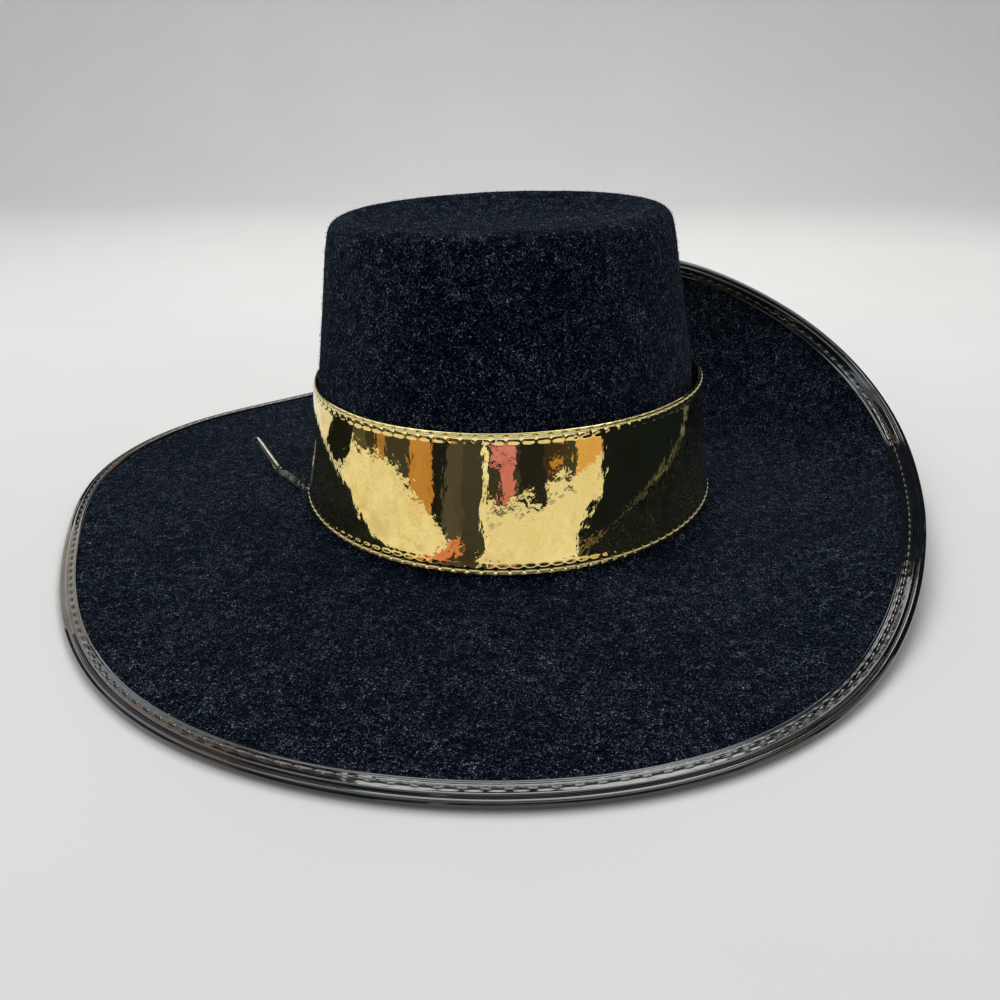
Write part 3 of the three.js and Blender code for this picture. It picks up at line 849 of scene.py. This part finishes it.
def make_band():
    t, around = even_turns(lambda q: band_point(q, BAND_H / 2, 0.0), N_BAND)
    col = np.arange(N_BAND) / N_BAND
    heights = np.concatenate([
        np.linspace(BAND_H - 0.6, BAND_H - 5.0, 15), np.linspace(BAND_H - 5.8, 6.2, 30), np.linspace(5.4, 0.6, 16)])
    rows = []
    lip = np.radians(np.linspace(180, 0, 8))[:-1]
    for a in lip:
        rows.append(band_point(t, BAND_H - 0.6 + 0.6 * math.sin(a), 0.6 - 0.6 * math.cos(a)))
    for z in heights:
        out = np.zeros(N_BAND)
        for zs, count, sign in ((STITCH_TOP, STITCHES_TOP, -1), (STITCH_BOTTOM, STITCHES_BOTTOM, 1)):
            x = (col * count) % 1.0
            hump = np.sin(np.pi * x) ** 0.8
            d = z - zs
            out += 0.20 * hump * math.exp(-((d / 1.35) ** 2))
            out += 0.16 * hump * math.exp(-(((d - sign * 1.5) / 0.7) ** 2))
            out -= 0.30 * math.exp(-((d / 0.33) ** 2))
            near = np.minimum(x, 1 - x) * around / count
            out -= 0.62 * np.exp(-((near / 0.55) ** 2)) * math.exp(-((d / 0.85) ** 2))
        inner = 1.0 if 6 < z < BAND_H - 5.5 else 0.35
        p = band_point(t, z, -out)
        ripple = 0.05 * field(p, 17.0, 11) + 0.018 * field(p * np.array([1, 1, 0.45]), 5.5, 12)
        rows.append(band_point(t, z, -(out + inner * ripple)))
    for a in np.radians(np.linspace(0, -180, 8))[1:]:
        rows.append(band_point(t, 0.6 + 0.6 * math.sin(a), 0.6 - 0.6 * math.cos(a)))
    for z in np.linspace(0.6, BAND_H - 0.6, 6)[1:-1]:
        rows.append(band_point(t, z, BAND_T))
    ob = skin("band_gold", np.array(rows), GOLD_MAT, ring=True)
    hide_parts("hat_band")
    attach(ob, "root")

    for name, zs, count in (("band_stitches_top", STITCH_TOP, STITCHES_TOP), ("band_stitches_bottom", STITCH_BOTTOM, STITCHES_BOTTOM)):
        parts = []
        fine = np.interp(np.arange(count * 12) / (count * 12), np.append(col, 1.0), np.append(t, 2 * np.pi))
        for k in range(count):
            idx = (k * 12 + np.arange(1, 12)) % (count * 12)
            q = fine[idx]
            f = np.linspace(0, 1, 11)
            v = -0.30 + 0.42 * np.sin(np.pi * f) ** 0.5
            c = np.array([band_point(qq, zs, -vv) for qq, vv in zip(q, v)])
            outward = unit(np.array([band_point(qq, zs, -1.0) - band_point(qq, zs, 0.0) for qq in q]))
            d = unit(np.gradient(c, axis=0))
            upw = unit(np.cross(outward, d))
            w = 0.29 * (0.55 + 0.45 * np.sin(np.pi * f) ** 0.4)
            parts.append(tube(c, outward, upw, w, w * 1.15, 6))
        st = add_object(name, *join(parts), GOLD_THREAD)
        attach(st, "root")


make_band()


# ------------------------------------------------------------------ brim binding
N_BIND = 1300
BIND_STITCHES = 205


def make_binding():
    t, around = even_turns(lambda q: brim_point(q, brim_length(q)), N_BIND)
    col = np.arange(N_BIND) / N_BIND
    length, w = brim_length(t), tape_width(t)
    x = (col * BIND_STITCHES) % 1.0
    hump = np.sin(np.pi * x)
    row_at = 0.46 - 0.54 * w      # where the stitches run
    # section: [distance past the felt's edge, height over its face], per column
    sec = []

    def add(along, up):
        sec.append((np.broadcast_to(along, (N_BIND,)).astype(float), np.broadcast_to(up, (N_BIND,)).astype(float)))

    low, top = 0.30, 1.14
    # folded inner edge
    for a in np.radians([200, 170, 135, 105, 80, 55]):
        add(-w + 0.45 + 0.5 * np.cos(a), (low + top) / 2 + 0.02 + 0.5 * math.sin(a) * 1.05)
    for k in np.linspace(0.0, 1.0, 16):
        s = (-w + 1.0) * (1 - k) + 0.3 * k
        d = s - row_at
        up = top - 0.14 - 0.26 * np.exp(-((d / 0.45) ** 2)) + 0.05 * hump * np.exp(-((np.abs(d) - 0.9) / 0.5) ** 2)
        near = np.minimum(x, 1 - x) * around / BIND_STITCHES
        up = up - 0.20 * np.exp(-((near / 0.5) ** 2)) * np.exp(-((d / 0.6) ** 2))
        add(s, up)
    add(0.72, top - 0.36)
    add(1.0, 0.30)
    cx, cy = 0.4 + BEAD_R, -BEAD_DROP
    for a in np.radians(np.linspace(126, -118, 20)):
        add(cx + BEAD_R * math.cos(a), cy + BEAD_R * math.sin(a))
    under = -FELT - 0.45
    add(0.1, under - 0.55)
    add(-TAPE_UNDER * 0.5, under - 0.62)
    add(-TAPE_UNDER, under - 0.5)
    add(-TAPE_UNDER, under)
    add(0.3, under)
    add(0.3, low)
    rows = []
    for along, up in sec:
        s = length + along
        p = brim_point(t, s) + brim_normal(t, np.minimum(s, length)) * up[:, None]
        rows.append(p)
    rows = np.array(rows)
    wob = 0.04 * field(rows, 15.0, 21) + 0.012 * field(rows, 5.0, 22)
    nrm = brim_normal(t, length)
    rows = rows + nrm[None] * wob[..., None]
    ob = skin("edge_binding", grounded(rows), VINYL_MAT, ring=True)
    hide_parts("brim_binding")
    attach(ob, "root")

    parts = []
    m = 12
    fine = np.interp(np.arange(BIND_STITCHES * m) / (BIND_STITCHES * m), np.append(col, 1.0), np.append(t, 2 * np.pi))
    f = np.linspace(0, 1, 9)
    for k in range(BIND_STITCHES):
        q = fine[(k * m + np.arange(2, 11)) % (BIND_STITCHES * m)]
        L = brim_length(q)
        s = L + 0.46 - 0.54 * tape_width(q)
        nrm = brim_normal(q, s)
        up = top - 0.62 + 0.40 * np.sin(np.pi * f) ** 0.45
        c = brim_point(q, s + 0.22 * (f - 0.5)) + nrm * up[:, None]
        d = unit(np.gradient(c, axis=0))
        side = unit(np.cross(nrm, d))
        r = 0.50 * (0.30 + 0.70 * np.sin(np.pi * f) ** 0.7)
        parts.append(tube(c, side, nrm, r * 1.2, r * 0.8, 10))
    st = add_object("binding_stitches", *join(parts), VINYL_MAT)
    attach(st, "root")


make_binding()


# ------------------------------------------------------------------ studio
def simple_material(name, colour, rough, noise_scale=6.0, spread=0.03):
    m = Nodes(name)
    lo = tuple(c * (1 - spread) for c in colour)
    m.link(m.ramp(m.noise(noise_scale, 3, 0.5), [(0.3, lo), (0.7, colour)]), m.bsdf.inputs["Base Color"])
    m.bsdf.inputs["Roughness"].default_value = rough
    m.bsdf.inputs["Specular IOR Level"].default_value = 0.0
    return m.mat


def make_floor():
    half, rise, back = 3.0, 2.2, 1.9
    pts, faces = [], []
    line = [(-half, 0.0)] + [(back - 0.6, 0.0)]
    for a in np.linspace(0, math.pi / 2, 12):
        line.append((back - 0.6 + 0.6 * math.sin(a), 0.6 - 0.6 * math.cos(a)))
    line.append((back, rise))
    for y, z in line:
        pts += [(-half * 1000, y * 1000, z * 1000 - 0.05), (half * 1000, y * 1000, z * 1000 - 0.05)]
    for i in range(len(line) - 1):
        faces.append([2 * i, 2 * i + 1, 2 * i + 3, 2 * i + 2])
    ob = add_object("floor", pts, faces, simple_material("pale_floor", (0.72, 0.712, 0.685), 0.8))


def area_light(name, at, aim, size, watts, colour, size_y=None):
    data = bpy.data.lights.new(name, "AREA")
    data.shape = "RECTANGLE"
    data.size = size
    data.size_y = size_y or size
    data.energy = watts
    data.color = colour
    ob = bpy.data.objects.new(name, data)
    ob.location = at
    ob.rotation_euler = (Vector(aim) - Vector(at)).to_track_quat("-Z", "Y").to_euler()
    bpy.context.scene.collection.objects.link(ob)
    return ob


def make_lights():
    area_light("key", (0.12, 0.80, 1.25), (0, 0, 0.03), 0.9, 10.0, (1.0, 0.99, 0.97))
    top = area_light("top", (-0.42, -0.10, 1.55), (0, 0, 0.03), 1.2, 6.0, (0.95, 0.975, 1.0))
    top.visible_glossy = False
    area_light("fill", (-0.7, -1.2, 0.9), (0, 0, 0.05), 0.8, 1.6, (1.0, 0.98, 0.95))
    world = bpy.data.worlds.new("studio")
    world.use_nodes = True
    world.node_tree.nodes["Background"].inputs[0].default_value = (0.92, 0.95, 1.0, 1.0)
    world.node_tree.nodes["Background"].inputs[1].default_value = 0.60
    bpy.context.scene.world = world


# Upright studio cards that only reflections see: they give the mirror vinyl something dark and
# warm to show. Each stands on an arc round the hat: radius, azimuths, lower edge at both ends,
# upper edge (mm), colour.
CARDS = [
    (187, 184, 246, 2.5, 2.5, 8, (0.93, 0.90, 0.83)),
    (187, 263, 302, 2.5, 2.5, 8, (0.93, 0.90, 0.83)),
    (330, 166, 180, 0, 0, 90, (0.012, 0.013, 0.014)),
    (330, 180, 193, 0, 6, 90, (0.10, 0.095, 0.07)),
    (330, 193, 200, 6, 12, 90, (0.05, 0.045, 0.04)),
    (330, 200, 207, 12, 17, 90, (0.42, 0.24, 0.10)),
    (330, 207, 215, 17, 20, 90, (0.055, 0.052, 0.055)),
    (330, 215, 223, 20, 13, 90, (0.055, 0.052, 0.055)),
    (330, 223, 236, 13, 5, 90, (0.56, 0.29, 0.10)),
    (330, 236, 243, 5, 1, 90, (0.014, 0.015, 0.02)),
    (330, 243, 252, 1, 0, 90, (0.085, 0.085, 0.095)),
    (330, 252, 262.6, 0, 0, 90, (0.055, 0.058, 0.068)),
    (329, 262.6, 264.6, 0, 0, 90, (1.0, 1.0, 0.95)),
    (330, 264.6, 281, 26, 30, 90, (0.045, 0.046, 0.052)),
    (326, 267.5, 280, 50, 52, 68, (0.70, 0.26, 0.40)),
    (326, 271, 278, 30, 32, 50, (0.66, 0.22, 0.32)),
    (330, 281, 293, 30, 24, 90, (0.018, 0.020, 0.026)),
    (330, 293, 304, 34, 38, 90, (0.05, 0.036, 0.03)),
    (326, 295, 303, 44, 42, 50, (0.60, 0.30, 0.10)),
    (330, 304, 309, 30, 30, 90, (0.05, 0.06, 0.05)),
    (330, 309, 323, 30, 34, 90, (0.74, 0.46, 0.19)),
    (330, 323, 330, 0, 0, 90, (0.008, 0.013, 0.018)),
    (200, 317, 352, 0, 0, 130, (0.008, 0.013, 0.018)),
    (186, 346, 385, 0, 0, 130, (0.008, 0.013, 0.018)),
    (200, 378, 425, 0, 0, 130, (0.008, 0.013, 0.018)),
    (330, 160, 400, 90, 90, 150, (0.03, 0.032, 0.036)),
    (332, 150, 316, 150, 150, 480, (1.05, 1.18, 1.28)),
]


def glow_material(name, colour, mottle=0.12):
    m = Nodes(name)
    e = m.new("ShaderNodeEmission")
    dim = tuple(c * (1 - mottle * k) for c, k in zip(colour, (1.0, 1.25, 1.7)))
    m.link(m.ramp(m.noise(34, 4, 0.6, 0.6), [(0.38, dim), (0.58, colour)]), e.inputs[0])
    m.link(e.outputs[0], m.t.nodes["Material Output"].inputs[0])
    return m.mat


def only_reflected(ob):
    ob.visible_camera = ob.visible_diffuse = ob.visible_transmission = ob.visible_shadow = False
    ob.visible_volume_scatter = False


def make_cards():
    mats = {}
    for i, (radius, a0, a1, low0, low1, high, colour) in enumerate(CARDS):
        n = 8
        pts = []
        for k in range(n + 1):
            a = math.radians(a0 + (a1 - a0) * k / n)
            low = low0 + (low1 - low0) * k / n
            pts += [(radius * math.cos(a), radius * math.sin(a), low), (radius * math.cos(a), radius * math.sin(a), high)]
        faces = [[2 * k, 2 * k + 2, 2 * k + 3, 2 * k + 1] for k in range(n)]
        if colour not in mats:
            mats[colour] = glow_material("card_glow_%02d" % len(mats), colour)
        only_reflected(add_object("card_%02d" % i, pts, faces, mats[colour], smooth=False))


# Flat sheets that only reflections see: height, colour, rows of azimuth, inner and outer radius (mm).
CREAM = (0.93, 0.90, 0.83)
SHEETS = [
    (8.0, CREAM, [(182, 180, 186), (190, 178, 186), (198, 164, 186), (206, 148, 186), (215, 134, 186),
                  (224, 124, 186), (234, 124, 186), (246, 130, 186)]),
    (8.0, CREAM, [(263, 144, 186), (270, 148, 186), (285, 158, 186), (300, 176, 186)]),
    (0.6, CREAM, [(182, 236, 700), (188, 218, 700), (200, 216, 700), (220, 216, 700), (246, 216, 700)]),
    (0.6, CREAM, [(263, 216, 900), (280, 216, 1400), (300, 216, 1500), (308, 276, 1500), (316, 380, 1500),
                  (323, 470, 1500), (331, 1030, 1500)]),
    (0.8, CREAM, [(138, 216, 262), (150, 212, 256), (163, 206, 250)]),
    (0.9, (0.008, 0.013, 0.018), [(306, 214, 262), (312, 206, 310), (318, 200, 400), (324, 196, 480), (332, 192, 1000),
                                  (350, 190, 1000), (375, 190, 900), (400, 190, 900), (420, 190, 900)]),
    (1.0, (0.012, 0.014, 0.015), [(163, 200, 330), (172, 200, 330), (181.5, 200, 330)]),
    (8.2, (0.78, 0.30, 0.20), [(246, 130, 188), (254, 136, 188)]),
    (1.0, (0.78, 0.30, 0.20), [(246, 214, 330), (253, 214, 330)]),
    (8.2, (0.05, 0.045, 0.04), [(254, 136, 188), (262.4, 143, 188)]),
    (1.0, (0.05, 0.045, 0.04), [(253, 214, 330), (262.4, 214, 330)]),
]


def make_sheets():
    for i, (height, colour, rows) in enumerate(SHEETS):
        pts = []
        for (a0, in0, out0), (a1, in1, out1) in zip(rows, rows[1:]):
            for k in range(4):
                f = k / 4
                pts.append((a0 + (a1 - a0) * f, in0 + (in1 - in0) * f, out0 + (out1 - out0) * f))
        pts.append(rows[-1])
        flat = []
        for a, r0, r1 in pts:
            c, d = math.cos(math.radians(a)), math.sin(math.radians(a))
            flat += [(r0 * c, r0 * d, height), (r1 * c, r1 * d, height)]
        faces = [[2 * k, 2 * k + 1, 2 * k + 3, 2 * k + 2] for k in range(len(pts) - 1)]
        only_reflected(add_object("sheet_%02d" % i, flat, faces, glow_material("sheet_glow_%02d" % i, colour, 0.22), smooth=False))


# Glowing boards behind the hat that only reflections see. They paint dark reflections on the gloss, with a bright slot
# between that paints a highlight: lower edge, upper edge (m), colour.
BOARDS = [(0.22, 0.80, (0.020, 0.024, 0.030)), (0.80, 0.90, (1.7, 1.78, 1.85)), (0.90, 1.9, (0.030, 0.034, 0.042))]


# Glowing amber strip on them that only reflections see, a painted warm reflection: across, up (m); it is 0.2 m high.
AMBER = [(0.75, 0.20), (0.42, 0.30), (0.28, 0.42), (0.07, 0.60), (-0.45, 0.86), (-1.0, 1.12)]


# Glowing ceiling strips that only reflections see: the dark ones paint dark reflections and the bright one paints
# highlight lines on the gloss; near and far edge (m), colour.
CEILING = [(-1.3, -0.10, (0.028, 0.032, 0.040)), (-0.10, 0.42, (2.4, 2.7, 2.9)), (0.42, 1.15, (0.030, 0.034, 0.042))]


def make_ceiling():
    for i, (y0, y1, colour) in enumerate(CEILING):
        pts = [(x * 1000, y * 1000, 1520) for x, y in ((-1.2, y0), (1.2, y0), (1.2, y1), (-1.2, y1))]
        only_reflected(add_object("ceiling_%02d" % i, pts, [[0, 1, 2, 3]], glow_material("ceiling_glow_%02d" % i, colour), smooth=False))


def make_boards():
    pts = []
    for x, z in AMBER:
        pts += [(x * 1000, 1120, z * 1000 - 100), (x * 1000, 1120, z * 1000 + 100)]
    only_reflected(add_object("board_amber", pts, [[2 * k, 2 * k + 2, 2 * k + 3, 2 * k + 1] for k in range(len(AMBER) - 1)],
                              glow_material("board_glow_amber", (1.5, 0.95, 0.58), 0.5), smooth=False))
    for i, (z0, z1, colour) in enumerate(BOARDS):
        pts = [(-1100, 1150, z0 * 1000), (1100, 1150, z0 * 1000), (1100, 1150, z1 * 1000), (-1100, 1150, z1 * 1000)]
        only_reflected(add_object("board_%02d" % i, pts, [[0, 1, 2, 3]], glow_material("board_glow_%02d" % i, colour), smooth=False))


make_cards()
make_sheets()
make_boards()
make_ceiling()
make_floor()
make_lights()
bpy.context.scene.view_settings.view_transform = "Standard"
